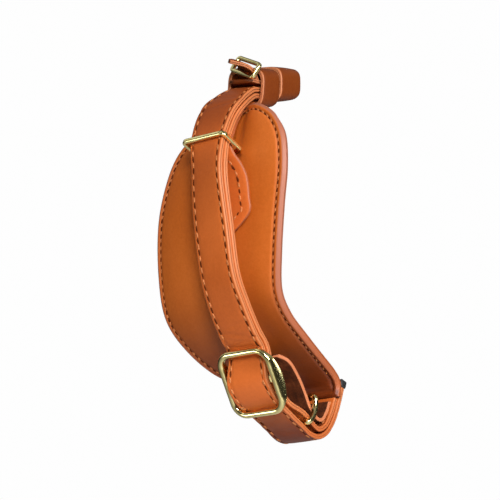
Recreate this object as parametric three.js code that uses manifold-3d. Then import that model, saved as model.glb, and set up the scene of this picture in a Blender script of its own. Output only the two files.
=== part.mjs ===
// Leather camera hand strap, in millimetres, as it sits on the back of a hand.
// X runs along the fingers, Y from the outside of the strap towards the hand, Z up.
// The origin is the middle of the pad's hand side.
import * as THREE from 'three';
import Module from 'manifold-3d';
import { mergeVertices } from 'three/addons/utils/BufferGeometryUtils.js';

const wasm = await Module();
wasm.setup();

// ---- Driving sizes ----
const STRAP_THICKNESS = 1.6;
const TAB_THICKNESS = 1.2;
const TAIL_THICKNESS = 1.2;
const THONG_THICKNESS = 1.2;
const LOOP_WALL = 1.3;
const PAD_RIM_THICKNESS = 2.2;
const PAD_MIDDLE_THICKNESS = 3.4;
const PAD_CROWN = 2.6; // how far the middle of the pad stands out from its rim
const PAD_SEAT_Y = 10.0; // depth of the pad's hand side behind the strap's outer face

const LOOP_SQUARENESS = 0.55; // 1 makes a loop oval, less makes it boxier
const SMALLEST_INNER_CORNER = 0.2;

// Fineness of the curved pieces.
const RUN_STEPS = 3;
const RIM_STEPS = 6;
const PAD_COLUMNS = 16;
const PAD_ROWS = 30;
const LOOP_SIDES = 32;
const CORNER_STEPS = 4;
const SIDE_STEPS = 6;
const PROBE = 0.01; // share of the pad that its slope is taken over
const WELD = 1e-4;

// Big slide buckle and the plane that it lies in.
const BUCKLE = {
  y: 10.1, z: -45.6, tilt: 20.4, width: 20, height: 21, bar: 2, corner: 5,
  sideDepth: 2.6, sideBlend: 0.1, barWidth: 2.8, barDepth: 1.5, barSink: 1.1,
};

// Wire rings: centre, size, bar, corner, lean about X, roll about Y and bow of the side bars.
const RINGS = {
  upper_keeper_ring: {
    x: 0, y: 3.8, z: 24.6, width: 16.8, height: 10.4, bar: 1.4, corner: 1.8, lean: 57, roll: 0, bow: 0,
  },
  lower_keeper_ring: {
    x: 0, y: 27.1, z: -54.3, width: 16.8, height: 10.4, bar: 1.55, corner: 1.8, lean: -30, roll: 0, bow: 1.9,
  },
  top_slider: {
    x: 2.5, y: 20.2, z: 49.0, width: 11.8, height: 5.7, bar: 1.3, corner: 1.4, lean: -28, roll: 27, bow: 0,
  },
};

// ---- Tables ----
// Outer face of the long strap from the camera lug, down the back of the hand, through the
// big buckle and round the bottom bend. turn twists it about its own run, in degrees, half is
// its half width, and gap is the space between it and the second strap inside it.
const STRAP_RUN = [
  { y: 33.5, z: 43.6, turn: -8, half: 4.4, gap: 0.3 },
  { y: 29.0, z: 43.6, turn: -8, half: 4.4, gap: 0.3 },
  { y: 24.0, z: 43.5, turn: -8, half: 4.4, gap: 0.3 },
  { y: 19.0, z: 42.8, turn: -6, half: 5.3, gap: 0.3 },
  { y: 11.3, z: 39.0, turn: -4, half: 6.75, gap: 0.3 },
  { y: 6.5, z: 34.8, turn: -2, half: 6.75, gap: 0.3 },
  { y: 3.1, z: 30.0, turn: 1, half: 6.75, gap: 0.3 },
  { y: 0.9, z: 25.4, turn: 3, half: 6.6, gap: 0.3 },
  { y: -0.6, z: 19.0, turn: 10, half: 6.6, gap: 0.3 },
  { y: -1.4, z: 12.0, turn: 10, half: 6.75, gap: 0.3 },
  { y: -1.4, z: 0.0, turn: 5, half: 6.75, gap: 0.3 },
  { y: -0.8, z: -13.9, turn: 5, half: 6.75, gap: 0.3 },
  { y: 2.1, z: -23.5, turn: 1, half: 6.75, gap: 0.3 },
  { y: 5.8, z: -31.8, turn: 0, half: 6.75, gap: 0.5 },
  { y: 8.6, z: -36.3, turn: 0, half: 6.75, gap: 0.6 },
  { y: 8.4, z: -40.5, turn: 0, half: 6.75, gap: 1.6 },
  { y: 9.1, z: -45.6, turn: 0, half: 6.75, gap: 2.3 },
  { y: 11.9, z: -49.9, turn: 0, half: 6.75, gap: 1.6 },
  { y: 14.8, z: -53.1, turn: 0, half: 6.75, gap: 0.9 },
  { y: 17.8, z: -56.0, turn: 0, half: 6.75, gap: 1.3 },
  { y: 22.3, z: -59.3, turn: 0, half: 6.75, gap: 2.3 },
  { y: 27.0, z: -62.6, turn: 0, half: 6.75, gap: 1.8 },
  { y: 31.5, z: -63.6, turn: 0, half: 6.75, gap: 0.7 },
  { y: 36.2, z: -61.9, turn: 0, half: 6.75, gap: 0.3 },
  { y: 40.3, z: -57.8, turn: 0, half: 6.75, gap: 0.3 },
  { y: 43.3, z: -53.2, turn: 0, half: 6.75, gap: 0.3 },
  { y: 45.6, z: -49.0, turn: 0, half: 6.75, gap: 0.3 },
];

// Free end of the strap: its chamfered tip, then down through the lower ring and round the bend.
const TAIL_RUN = [
  { y: 18.2, z: -38.6, turn: 0, half: 4.6 },
  { y: 20.6, z: -40.6, turn: 0, half: 6.5 },
  { y: 24.0, z: -45.0, turn: 0, half: 6.5 },
  { y: 26.5, z: -49.6, turn: 0, half: 6.3 },
  { y: 28.3, z: -54.2, turn: 0, half: 6.3 },
  { y: 31.2, z: -57.9, turn: 0, half: 6.5 },
  { y: 34.2, z: -58.2, turn: 0, half: 6.5 },
  { y: 37.0, z: -55.6, turn: 0, half: 6.5 },
  { y: 38.6, z: -53.0, turn: 0, half: 6.5 },
];

// Tab that joins the straps to the pad: from the leather loop down to its pointed end.
const TAB_RUN = [
  { y: 20.2, z: 38.7, turn: -4, half: 4.4 },
  { y: 13.4, z: 35.5, turn: -3, half: 4.9 },
  { y: 9.3, z: 31.9, turn: -1, half: 5.6 },
  { y: 6.5, z: 28.0, turn: 2, half: 6.1 },
  { y: 4.7, z: 24.6, turn: 4, half: 6.2 },
  { y: 4.9, z: 21.6, turn: 4, half: 6.7 },
  { y: 6.2, z: 18.0, turn: 2, half: 7.9 },
  { y: 6.8, z: 14.2, turn: 0, half: 8.8 },
  { y: 6.5, z: 8.6, turn: 0, half: 9.1 },
  { y: 6.3, z: 3.4, turn: 0, half: 8.6 },
  { y: 6.2, z: -2.0, turn: 0, half: 0.9 },
];

// Thin thong that holds the strap to the camera lug: out, round the lug and back to its tip.
const THONG_RUN = [
  { x: 0.0, y: 20.3, z: 44.7, turn: 8, half: 5.0 },
  { x: 0.2, y: 24.5, z: 44.3, turn: 8, half: 4.6 },
  { x: 0.0, y: 30.0, z: 44.3, turn: 8, half: 4.5 },
  { x: 0.0, y: 35.0, z: 44.2, turn: 6, half: 4.5 },
  { x: 0.0, y: 37.8, z: 44.3, turn: 2, half: 4.5 },
  { x: 0.0, y: 39.6, z: 45.9, turn: 0, half: 4.5 },
  { x: 0.0, y: 37.8, z: 47.6, turn: -2, half: 4.5 },
  { x: 0.0, y: 34.6, z: 47.3, turn: -6, half: 4.5 },
  { x: 0.0, y: 29.0, z: 46.9, turn: -8, half: 4.4 },
  { x: 0.4, y: 26.0, z: 46.5, turn: -10, half: 4.0 },
  { x: 1.0, y: 23.8, z: 46.3, turn: -14, half: 3.7 },
  { x: 2.9, y: 20.3, z: 49.3, turn: -27, half: 3.8 },
  { x: 2.2, y: 17.4, z: 50.8, turn: -27, half: 3.4 },
  { x: 1.2, y: 14.6, z: 51.3, turn: -27, half: 0.7 },
];

// Rim of the pad's outer face: up the wrist side, over the top and down the finger side.
// span says which side of the patch a row belongs to.
const PAD_RIM = [
  { x: -7.6, y: 40.2, z: -51.0, span: 'wrist' },
  { x: -8.2, y: 40.8, z: -48.0, span: 'wrist' },
  { x: -11.4, y: 36.4, z: -46.8, span: 'wrist' },
  { x: -17.0, y: 28.4, z: -44.8, span: 'wrist' },
  { x: -22.2, y: 21.0, z: -41.4, span: 'wrist' },
  { x: -27.9, y: 14.6, z: -32.8, span: 'wrist' },
  { x: -32.0, y: 11.2, z: -22.6, span: 'wrist' },
  { x: -31.6, y: 9.5, z: -9.2, span: 'wrist' },
  { x: -29.0, y: 9.2, z: 7.0, span: 'wrist' },
  { x: -24.0, y: 10.4, z: 20.4, span: 'wrist' },
  { x: -18.6, y: 12.1, z: 28.0, span: 'top' },
  { x: -10.5, y: 14.0, z: 32.2, span: 'top' },
  { x: -2.0, y: 15.6, z: 34.4, span: 'top' },
  { x: 4.4, y: 16.2, z: 35.1, span: 'top' },
  { x: 6.7, y: 15.0, z: 36.0, span: 'top' },
  { x: 9.9, y: 13.8, z: 36.6, span: 'top' },
  { x: 14.3, y: 13.1, z: 34.5, span: 'top' },
  { x: 18.2, y: 12.4, z: 30.9, span: 'finger' },
  { x: 21.1, y: 11.0, z: 24.6, span: 'finger' },
  { x: 21.2, y: 9.8, z: 15.0, span: 'finger' },
  { x: 19.1, y: 9.2, z: 4.5, span: 'finger' },
  { x: 16.0, y: 9.4, z: -9.4, span: 'finger' },
  { x: 13.2, y: 11.2, z: -20.2, span: 'finger' },
  { x: 12.3, y: 15.6, z: -27.6, span: 'finger' },
  { x: 11.9, y: 22.8, z: -34.2, span: 'finger' },
  { x: 10.4, y: 31.4, z: -40.2, span: 'finger' },
  { x: 8.9, y: 38.2, z: -44.6, span: 'finger' },
  { x: 8.2, y: 40.8, z: -47.6, span: 'finger' },
  { x: 7.6, y: 40.2, z: -51.0, span: 'finger' },
];

// Leather loops round the stack at the top: front and back section of each.
const LOOPS = {
  leather_loop: {
    front: { x: -0.5, y: 22.6, z: 43.5, halfWidth: 7.1, halfHeight: 6.1 },
    back: { x: -0.3, y: 30.3, z: 43.9, halfWidth: 7.1, halfHeight: 5.8 },
    roll: 12,
  },
  lug_loop: {
    front: { x: 0, y: 30.7, z: 44.9, halfWidth: 7.2, halfHeight: 5.4 },
    back: { x: -0.2, y: 41.2, z: 45.6, halfWidth: 6.6, halfHeight: 4.8 },
    roll: 8,
  },
};

const ANCHOR = { y: 46.2, z: -47.3, width: 12.6, depth: 2.6, height: 2.4, lean: 28 };

// ---- Finishes ----
const leather = (color) => new THREE.MeshStandardMaterial({ color, roughness: 0.48, metalness: 0 });
const brass = () => new THREE.MeshStandardMaterial({ color: 0xd9b45a, roughness: 0.22, metalness: 1 });
const blackMetal = () => new THREE.MeshStandardMaterial({ color: 0x1c1c1e, roughness: 0.5, metalness: 0.4 });

// ---- Helpers ----
const radians = THREE.MathUtils.degToRad;
const vector = (x, y, z) => new THREE.Vector3(x, y, z);
const clamp = THREE.MathUtils.clamp;

function splineValue(a, b, c, d, t) {
  const straight = 2 * b + (c - a) * t;
  const square = (2 * a - 5 * b + 4 * c - d) * t * t;
  const cube = (3 * b - a - 3 * c + d) * t * t * t;
  return 0.5 * (straight + square + cube);
}

// Smooth rows through a table's rows, with every numeric column carried along.
function smoothRows(rows, steps) {
  const columns = Object.keys(rows[0]).filter((key) => typeof rows[0][key] === 'number');
  const at = (index) => rows[clamp(index, 0, rows.length - 1)];
  const smooth = [];
  for (let i = 0; i < rows.length - 1; i += 1) {
    for (let step = 0; step < steps; step += 1) {
      const row = {};
      for (const key of columns) {
        row[key] = splineValue(at(i - 1)[key], at(i)[key], at(i + 1)[key], at(i + 2)[key], step / steps);
      }
      smooth.push(row);
    }
  }
  smooth.push(at(rows.length - 1));
  return smooth;
}

// Turns a closed body's faces round if they point inwards.
function outward(geometry) {
  const place = geometry.attributes.position;
  const index = geometry.index.array;
  const corner = (i) => vector(place.getX(i), place.getY(i), place.getZ(i));
  let volume = 0;
  for (let i = 0; i < index.length; i += 3) {
    volume += corner(index[i]).dot(corner(index[i + 1]).cross(corner(index[i + 2])));
  }
  if (volume < 0) {
    for (let i = 0; i < index.length; i += 3) {
      [index[i + 1], index[i + 2]] = [index[i + 2], index[i + 1]];
    }
  }
  return geometry;
}

function closedGeometry(points, triangles) {
  const geometry = new THREE.BufferGeometry();
  const places = points.flatMap((point) => [point.x, point.y, point.z]);
  geometry.setAttribute('position', new THREE.Float32BufferAttribute(places, 3));
  geometry.setIndex(triangles);
  return outward(geometry);
}

// Closed body through a row of sections, each the same number of points in order.
function sweptBody(sections, isClosed) {
  const size = sections[0].length;
  const triangles = [];
  const spans = isClosed ? sections.length : sections.length - 1;
  for (let i = 0; i < spans; i += 1) {
    const next = (i + 1) % sections.length;
    for (let j = 0; j < size; j += 1) {
      const k = (j + 1) % size;
      const corners = [i * size + j, i * size + k, next * size + k, next * size + j];
      triangles.push(corners[0], corners[1], corners[2], corners[0], corners[2], corners[3]);
    }
  }
  if (!isClosed) {
    const last = (sections.length - 1) * size;
    for (let j = 1; j < size - 1; j += 1) {
      triangles.push(0, j + 1, j, last, last + j, last + j + 1);
    }
  }
  return closedGeometry(sections.flat(), triangles);
}

// Closed shell between two grids of points that face each other.
function shellBody(outer, inner, columns, rows) {
  const triangles = [];
  const second = outer.length;
  const quad = (a, b, c, d) => triangles.push(a, b, c, a, c, d);
  for (let j = 0; j < rows - 1; j += 1) {
    for (let i = 0; i < columns - 1; i += 1) {
      const a = j * columns + i;
      quad(a, a + 1, a + columns + 1, a + columns);
      quad(second + a, second + a + columns, second + a + columns + 1, second + a + 1);
    }
  }
  const edge = gridEdge(columns, rows);
  edge.forEach((a, i) => {
    const b = edge[(i + 1) % edge.length];
    quad(b, a, second + a, second + b);
  });
  return closedGeometry([...outer, ...inner], triangles);
}

// Points round the edge of a grid, in order.
function gridEdge(columns, rows) {
  const across = Array.from({ length: columns - 1 }, (_, i) => i);
  const along = Array.from({ length: rows - 1 }, (_, j) => j);
  return [
    ...across,
    ...along.map((j) => j * columns + columns - 1),
    ...across.map((i) => rows * columns - 1 - i),
    ...along.map((j) => (rows - 1 - j) * columns),
  ];
}

function manifoldOf(geometry) {
  const merged = mergeVertices(geometry, WELD);
  return new wasm.Manifold(new wasm.Mesh({
    numProp: 3,
    vertProperties: new Float32Array(merged.attributes.position.array),
    triVerts: new Uint32Array(merged.index.array),
  }));
}

function geometryOf(solid) {
  const mesh = solid.getMesh();
  const geometry = new THREE.BufferGeometry();
  geometry.setAttribute('position', new THREE.BufferAttribute(mesh.vertProperties, 3));
  geometry.setIndex(new THREE.BufferAttribute(mesh.triVerts, 1));
  return geometry;
}

// ---- Straps ----
// Frame at each row of a run: its place, the way across the strap and the way out of its face.
function runFrames(rows) {
  const places = rows.map((row) => vector(row.x ?? 0, row.y, row.z));
  return rows.map((row, i) => {
    const before = places[Math.max(i - 1, 0)];
    const after = places[Math.min(i + 1, rows.length - 1)];
    const along = after.clone().sub(before).normalize();
    const flat = vector(1, 0, 0).addScaledVector(along, -along.x).normalize();
    const out = along.clone().cross(flat);
    const turn = radians(row.turn);
    const across = flat.clone().multiplyScalar(Math.cos(turn)).addScaledVector(out, Math.sin(turn));
    const face = out.clone().multiplyScalar(Math.cos(turn)).addScaledVector(flat, -Math.sin(turn));
    return { place: places[i], across, face };
  });
}

// Flat strap of the given thickness whose outer face lies depth inside the run.
function strapBody(table, thickness, depthOf) {
  const rows = smoothRows(table, RUN_STEPS);
  const frames = runFrames(rows);
  return sweptBody(rows.map((row, i) => {
    const { place, across, face } = frames[i];
    const outer = depthOf(row);
    const inner = outer + thickness;
    const corner = (side, depth) => place.clone()
      .addScaledVector(across, side * row.half)
      .addScaledVector(face, -depth);
    return [corner(-1, outer), corner(1, outer), corner(1, inner), corner(-1, inner)];
  }), false);
}

const onRun = () => 0;
const insideOuterStrap = (row) => STRAP_THICKNESS + row.gap;

// ---- Pad ----
// Curves along the pad's wrist side, top, finger side and bottom end.
function padSides() {
  const wristRows = PAD_RIM.filter((row) => row.span === 'wrist').length;
  const fingerRows = PAD_RIM.filter((row) => row.span === 'finger').length;
  const rim = smoothRows(PAD_RIM, RIM_STEPS).map(({ x, y, z }) => vector(x, y, z));
  const wristEnd = wristRows * RIM_STEPS;
  const fingerStart = (PAD_RIM.length - fingerRows) * RIM_STEPS;
  return {
    wrist: new THREE.CatmullRomCurve3(rim.slice(0, wristEnd + 1)),
    top: new THREE.CatmullRomCurve3(rim.slice(wristEnd, fingerStart + 1)),
    finger: new THREE.CatmullRomCurve3(rim.slice(fingerStart).reverse()),
    bottom: new THREE.LineCurve3(rim[0], rim[rim.length - 1]),
  };
}

// Point of the flat patch between the four sides, u across the pad and v up it.
function patchPoint({ wrist, top, finger, bottom }, u, v) {
  const between = (a, b, share) => a.clone().lerp(b, share);
  const sides = between(wrist.getPointAt(v), finger.getPointAt(v), u);
  const ends = between(bottom.getPointAt(u), top.getPointAt(u), v);
  const low = between(bottom.getPointAt(0), bottom.getPointAt(1), u);
  const high = between(top.getPointAt(0), top.getPointAt(1), u);
  return sides.add(ends).sub(between(low, high, v));
}

// Share of the full crown at a place on the pad: nothing at the rim, all of it in the middle.
const bulge = (u, v) => 4 * u * (1 - u) * Math.sqrt(Math.max(Math.sin(Math.PI * v), 0));

// Pad crowned in the middle, with its thickness laid off square to its outer face.
function padBody() {
  const sides = padSides();
  const crowned = (u, v) => patchPoint(sides, u, v).add(vector(0, -PAD_CROWN * bulge(u, v), 0));
  const slope = (low, high) => crowned(...high).sub(crowned(...low));
  const lower = (share) => Math.max(share - PROBE, 0);
  const upper = (share) => Math.min(share + PROBE, 1);
  const outer = [];
  const inner = [];
  for (let j = 0; j <= PAD_ROWS; j += 1) {
    for (let i = 0; i <= PAD_COLUMNS; i += 1) {
      const u = i / PAD_COLUMNS;
      const v = j / PAD_ROWS;
      const alongU = slope([lower(u), v], [upper(u), v]);
      const alongV = slope([u, lower(v)], [u, upper(v)]);
      const inwards = alongV.cross(alongU).normalize();
      const thickness = THREE.MathUtils.lerp(PAD_RIM_THICKNESS, PAD_MIDDLE_THICKNESS, bulge(u, v));
      const place = crowned(u, v);
      outer.push(place);
      inner.push(place.clone().addScaledVector(inwards, thickness));
    }
  }
  return shellBody(outer, inner, PAD_COLUMNS + 1, PAD_ROWS + 1);
}

// ---- Loops ----
// Oval leather band round the Y axis, lofted from its front section to its back one.
function loopBody({ front, back, roll }) {
  const boxy = (value) => Math.sign(value) * Math.abs(value) ** LOOP_SQUARENESS;
  const point = (section, angle, inset) => {
    const x = (section.halfWidth - inset) * boxy(Math.cos(angle));
    const z = (section.halfHeight - inset) * boxy(Math.sin(angle));
    const place = vector(x, 0, z).applyAxisAngle(vector(0, 1, 0), radians(roll));
    return place.add(vector(section.x, section.y, section.z));
  };
  return sweptBody(Array.from({ length: LOOP_SIDES }, (_, i) => {
    const angle = (2 * Math.PI * i) / LOOP_SIDES;
    return [
      point(front, angle, 0), point(back, angle, 0),
      point(back, angle, LOOP_WALL), point(front, angle, LOOP_WALL),
    ];
  }), true);
}

// ---- Brass ----
// Outer and inner outline of a rounded rectangular frame in the XZ plane, point for point.
function frameOutline({ width, height, bar, corner }) {
  const w = width / 2 - corner;
  const h = height / 2 - corner;
  const innerCorner = Math.max(corner - bar, SMALLEST_INNER_CORNER);
  const pairs = [];
  [[w, h], [-w, h], [-w, -h], [w, -h]].forEach(([x, z], quarter) => {
    for (let k = 0; k <= CORNER_STEPS; k += 1) {
      const angle = (Math.PI / 2) * (quarter + k / CORNER_STEPS);
      const centre = vector(x, 0, z);
      const out = vector(Math.cos(angle), 0, Math.sin(angle));
      const outer = centre.clone().addScaledVector(out, corner);
      pairs.push({ outer, inner: centre.addScaledVector(out, innerCorner) });
    }
  });
  return pairs.flatMap((pair, i) => {
    const next = pairs[(i + 1) % pairs.length];
    const isLastOfCorner = (i + 1) % (CORNER_STEPS + 1) === 0;
    const count = isLastOfCorner ? SIDE_STEPS : 1;
    return Array.from({ length: count }, (_, k) => ({
      outer: pair.outer.clone().lerp(next.outer, k / count),
      inner: pair.inner.clone().lerp(next.inner, k / count),
    }));
  });
}

// Frame of square bar whose front and back depth are worked out at each place along its height.
function frameBody(size, depthOf) {
  return sweptBody(frameOutline(size).map(({ outer, inner }) => {
    const [front, back] = depthOf(outer);
    return [
      vector(outer.x, front, outer.z), vector(outer.x, back, outer.z),
      vector(inner.x, back, inner.z), vector(inner.x, front, inner.z),
    ];
  }), true);
}

// Wire ring, with its side bars bowed back between the ends.
function ringBody(ring) {
  return frameBody(ring, (point) => {
    const bow = ring.bow * Math.max(1 - ((2 * point.z) / ring.height) ** 2, 0);
    return [bow - ring.bar / 2, bow + ring.bar / 2];
  });
}

// Slide buckle: frame with crescent side walls and the centre bar that the strap runs over.
function buckleBody() {
  const { height, bar, corner, width, sideDepth, barWidth, barDepth, barSink } = BUCKLE;
  const sideFrom = width / 2 - bar - BUCKLE.sideBlend;
  const frame = frameBody(BUCKLE, (point) => {
    const isSide = Math.abs(point.x) > sideFrom;
    const middle = Math.max(1 - ((2 * point.z) / (height - corner)) ** 2, 0);
    return [-bar / 2, bar / 2 + (isSide ? sideDepth * middle : 0)];
  });
  const centreBar = new THREE.BoxGeometry(width - bar, barDepth, barWidth);
  centreBar.translate(0, barSink + barDepth / 2, 0);
  centreBar.deleteAttribute('normal');
  centreBar.deleteAttribute('uv');
  return geometryOf(manifoldOf(frame).add(manifoldOf(centreBar)));
}

// ---- Assembly ----
const strap = new THREE.Group();
strap.position.y = -PAD_SEAT_Y;

function addMesh(name, geometry, material) {
  const mesh = new THREE.Mesh(geometry, material);
  mesh.name = name;
  strap.add(mesh);
  return mesh;
}

addMesh('hand_pad', padBody(), leather(0xb4601f));
addMesh('sewn_tab', strapBody(TAB_RUN, TAB_THICKNESS, onRun), leather(0xc26a35));
const liningRun = STRAP_RUN.slice(1, -1);
addMesh('inner_strap', strapBody(liningRun, STRAP_THICKNESS, insideOuterStrap), leather(0xb9602d));
addMesh('outer_strap', strapBody(STRAP_RUN, STRAP_THICKNESS, onRun), leather(0xc76a3a));
addMesh('strap_tail', strapBody(TAIL_RUN, TAIL_THICKNESS, onRun), leather(0x8f4420));
addMesh('lug_thong', strapBody(THONG_RUN, THONG_THICKNESS, onRun), leather(0xc8703c));
for (const [name, loop] of Object.entries(LOOPS)) {
  addMesh(name, loopBody(loop), leather(0xa8571f));
}
for (const [name, ring] of Object.entries(RINGS)) {
  const mesh = addMesh(name, ringBody(ring), brass());
  mesh.rotation.set(radians(ring.lean), radians(ring.roll), 0);
  mesh.position.set(ring.x, ring.y, ring.z);
}
const buckle = addMesh('slide_buckle', buckleBody(), brass());
buckle.position.set(0, BUCKLE.y, BUCKLE.z);
buckle.rotation.x = radians(BUCKLE.tilt);

const anchorBox = new THREE.BoxGeometry(ANCHOR.width, ANCHOR.depth, ANCHOR.height);
const anchor = addMesh('base_anchor', anchorBox, blackMetal());
anchor.position.set(0, ANCHOR.y, ANCHOR.z);
anchor.rotation.x = -radians(ANCHOR.lean);

const handStrap = new THREE.Group();
handStrap.name = 'camera_hand_strap';
handStrap.add(strap);

export default handStrap;
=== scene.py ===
import math

import bmesh
import bpy
import numpy as np
from mathutils import Matrix, Vector


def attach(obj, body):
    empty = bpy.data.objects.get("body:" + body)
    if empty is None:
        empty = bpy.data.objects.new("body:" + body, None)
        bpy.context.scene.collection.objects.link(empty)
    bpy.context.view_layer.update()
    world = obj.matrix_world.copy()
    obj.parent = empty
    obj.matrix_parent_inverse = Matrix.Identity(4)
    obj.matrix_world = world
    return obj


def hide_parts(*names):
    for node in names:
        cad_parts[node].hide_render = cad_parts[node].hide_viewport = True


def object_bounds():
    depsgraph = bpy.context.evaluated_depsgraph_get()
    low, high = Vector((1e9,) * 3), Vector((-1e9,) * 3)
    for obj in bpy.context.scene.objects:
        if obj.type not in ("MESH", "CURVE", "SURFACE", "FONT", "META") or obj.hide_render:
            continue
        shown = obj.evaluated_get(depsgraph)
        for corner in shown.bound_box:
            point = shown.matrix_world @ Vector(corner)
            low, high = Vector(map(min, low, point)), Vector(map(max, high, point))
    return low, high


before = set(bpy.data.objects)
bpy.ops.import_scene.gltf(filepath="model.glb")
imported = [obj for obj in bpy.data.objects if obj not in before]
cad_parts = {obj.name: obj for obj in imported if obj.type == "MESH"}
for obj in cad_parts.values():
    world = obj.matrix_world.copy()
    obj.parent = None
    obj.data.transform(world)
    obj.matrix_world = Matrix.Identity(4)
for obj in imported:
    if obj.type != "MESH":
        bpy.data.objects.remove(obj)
cadLow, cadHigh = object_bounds()
print("frame loaded:", len(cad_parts), "nodes")

mm = 0.001
padSeat = 10.0  # the tables' y starts at the strap's outer face, 10 mm in front of the pad's hand side
scene = bpy.context.scene


class Wire:
    # a node's output that can be used in sums
    def __init__(self, tree, socket):
        self.tree, self.socket = tree, socket

    def sum(self, operation, first, second):
        return self.tree.add("ShaderNodeMath", {"operation": operation}, {0: first, 1: second})[0]

    def __add__(self, other):
        return self.sum("ADD", self, other)

    def __radd__(self, other):
        return self.sum("ADD", other, self)

    def __sub__(self, other):
        return self.sum("SUBTRACT", self, other)

    def __rsub__(self, other):
        return self.sum("SUBTRACT", other, self)

    def __mul__(self, other):
        return self.sum("MULTIPLY", self, other)

    def __truediv__(self, other):
        return self.sum("DIVIDE", self, other)

    def __mod__(self, other):
        return self.sum("MODULO", self, other)


class Step:
    # a node whose outputs are asked for by name or number
    def __init__(self, tree, node):
        self.tree, self.node = tree, node

    def __getitem__(self, key):
        return Wire(self.tree, self.node.outputs[key])


class Tree:
    def __init__(self, nodeTree):
        self.nodeTree = nodeTree

    def add(self, kind, settings=None, inputs=None):
        node = self.nodeTree.nodes.new(kind)
        for key, value in (settings or {}).items():
            if key == "stops":
                self.setStops(node.color_ramp.elements, value)
            else:
                setattr(node, key, value)
        for key, value in (inputs or {}).items():
            if isinstance(value, Wire):
                self.nodeTree.links.new(value.socket, node.inputs[key])
            else:
                node.inputs[key].default_value = value
        return Step(self, node)

    def setStops(self, elements, stops):
        while len(elements) < len(stops):
            elements.new(0.5)
        for element, (position, color) in zip(elements, stops):
            element.position = position
            element.color = (*color, 1)

    def ramp(self, factor, stops):
        return self.add("ShaderNodeValToRGB", {"stops": stops}, {"Fac": factor})["Color"]

    def mix(self, factor, first, second, blend="MIX"):
        ends = [value if isinstance(value, Wire) else (*value, 1) for value in (first, second)]
        return self.add("ShaderNodeMix", {"data_type": "RGBA", "blend_type": blend},
                        {0: factor, 6: ends[0], 7: ends[1]})[2]

    def place(self):
        return self.add("ShaderNodeTexCoord")["Object"]

    def noise(self, scale, detail=2.0, roughness=0.5):
        return self.add("ShaderNodeTexNoise", inputs={
            "Vector": self.place(), "Scale": scale, "Detail": detail, "Roughness": roughness})["Fac"]

    def bump(self, strength, distance, height):
        return self.add("ShaderNodeBump", inputs={
            "Strength": strength, "Distance": distance, "Height": height})["Normal"]

    def attribute(self, name):
        return self.add("ShaderNodeAttribute", {"attribute_name": name})["Fac"]

    def forRay(self, kind, shader, others):
        # one shader for rays of this kind and another for the rest
        return self.add("ShaderNodeMixShader", inputs={
            0: self.add("ShaderNodeLightPath")[kind], 1: others, 2: shader})["Shader"]

    def background(self, color, strength):
        color = color if isinstance(color, Wire) else (*color, 1)
        return self.add("ShaderNodeBackground", inputs={"Color": color, "Strength": strength})["Background"]

    def stretch(self, value, low, high):
        # 0 below low, 1 above high
        return self.add("ShaderNodeMapRange", {"interpolation_type": "SMOOTHSTEP"},
                        {"Value": value, "From Min": low, "From Max": high})[0]


def newMaterial(name):
    material = bpy.data.materials.new(name)
    material.use_nodes = True
    material.node_tree.nodes.clear()
    return material, Tree(material.node_tree)


def finishMaterial(material, tree, inputs):
    shader = tree.add("ShaderNodeBsdfPrincipled", inputs=inputs)
    tree.add("ShaderNodeOutputMaterial", inputs={"Surface": shader["BSDF"]})
    return material


def newNodeGroup(name, numbers, wholeNumbers=()):
    # the names of its number inputs, besides the geometry and the material
    group = bpy.data.node_groups.new(name, "GeometryNodeTree")
    kinds = {"Geometry": "Geometry", **dict.fromkeys(numbers, "Float"), **dict.fromkeys(wholeNumbers, "Int"),
             "Material": "Material"}
    for label, kind in kinds.items():
        group.interface.new_socket(label, in_out="INPUT", socket_type="NodeSocket" + kind)
    group.interface.new_socket("Geometry", in_out="OUTPUT", socket_type="NodeSocketGeometry")
    tree = Tree(group)
    return group, tree, tree.add("NodeGroupInput")


def finishNodes(tree, given, geometry):
    smooth = tree.add("GeometryNodeSetShadeSmooth", inputs={"Geometry": geometry})["Geometry"]
    real = tree.add("GeometryNodeRealizeInstances", inputs={"Geometry": smooth})["Geometry"]
    painted = tree.add("GeometryNodeSetMaterial", inputs={"Geometry": real, "Material": given["Material"]})
    tree.add("NodeGroupOutput", inputs={"Geometry": painted["Geometry"]})


def grownMesh(name, group, mesh, values):
    # the group's result as a plain mesh
    host = bpy.data.objects.new(name + "Host", mesh)
    scene.collection.objects.link(host)
    modifier = host.modifiers.new("grow", "NODES")
    modifier.node_group = group
    for item in group.interface.items_tree:
        if item.name in values:
            modifier[item.identifier] = values[item.name]
    graph = bpy.context.evaluated_depsgraph_get()
    result = bpy.data.meshes.new_from_object(host.evaluated_get(graph), depsgraph=graph)
    result.name = name
    bpy.data.objects.remove(host)
    return result


def faceOutwards(mesh):
    shape = bmesh.new()
    shape.from_mesh(mesh)
    bmesh.ops.recalc_face_normals(shape, faces=shape.faces)
    shape.to_mesh(mesh)
    shape.free()


def inMetres(points):
    return ((np.asarray(points, float) - [0, padSeat, 0]) * mm).tolist()


def makeMesh(name, points, faces, layers=None):
    mesh = bpy.data.meshes.new(name)
    mesh.from_pydata(inMetres(points), [], faces)
    faceOutwards(mesh)
    for layer, values in (layers or {}).items():
        mesh.attributes.new(layer, "FLOAT", "POINT").data.foreach_set("value", np.asarray(values, "f").ravel())
    mesh.shade_smooth()
    return mesh


def addPiece(name, mesh, material, nodes):
    piece = bpy.data.objects.new(name, mesh)
    scene.collection.objects.link(piece)
    mesh.materials.clear()
    mesh.materials.append(material)
    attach(piece, "root")
    if nodes:
        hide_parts(*nodes)
    return piece


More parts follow.
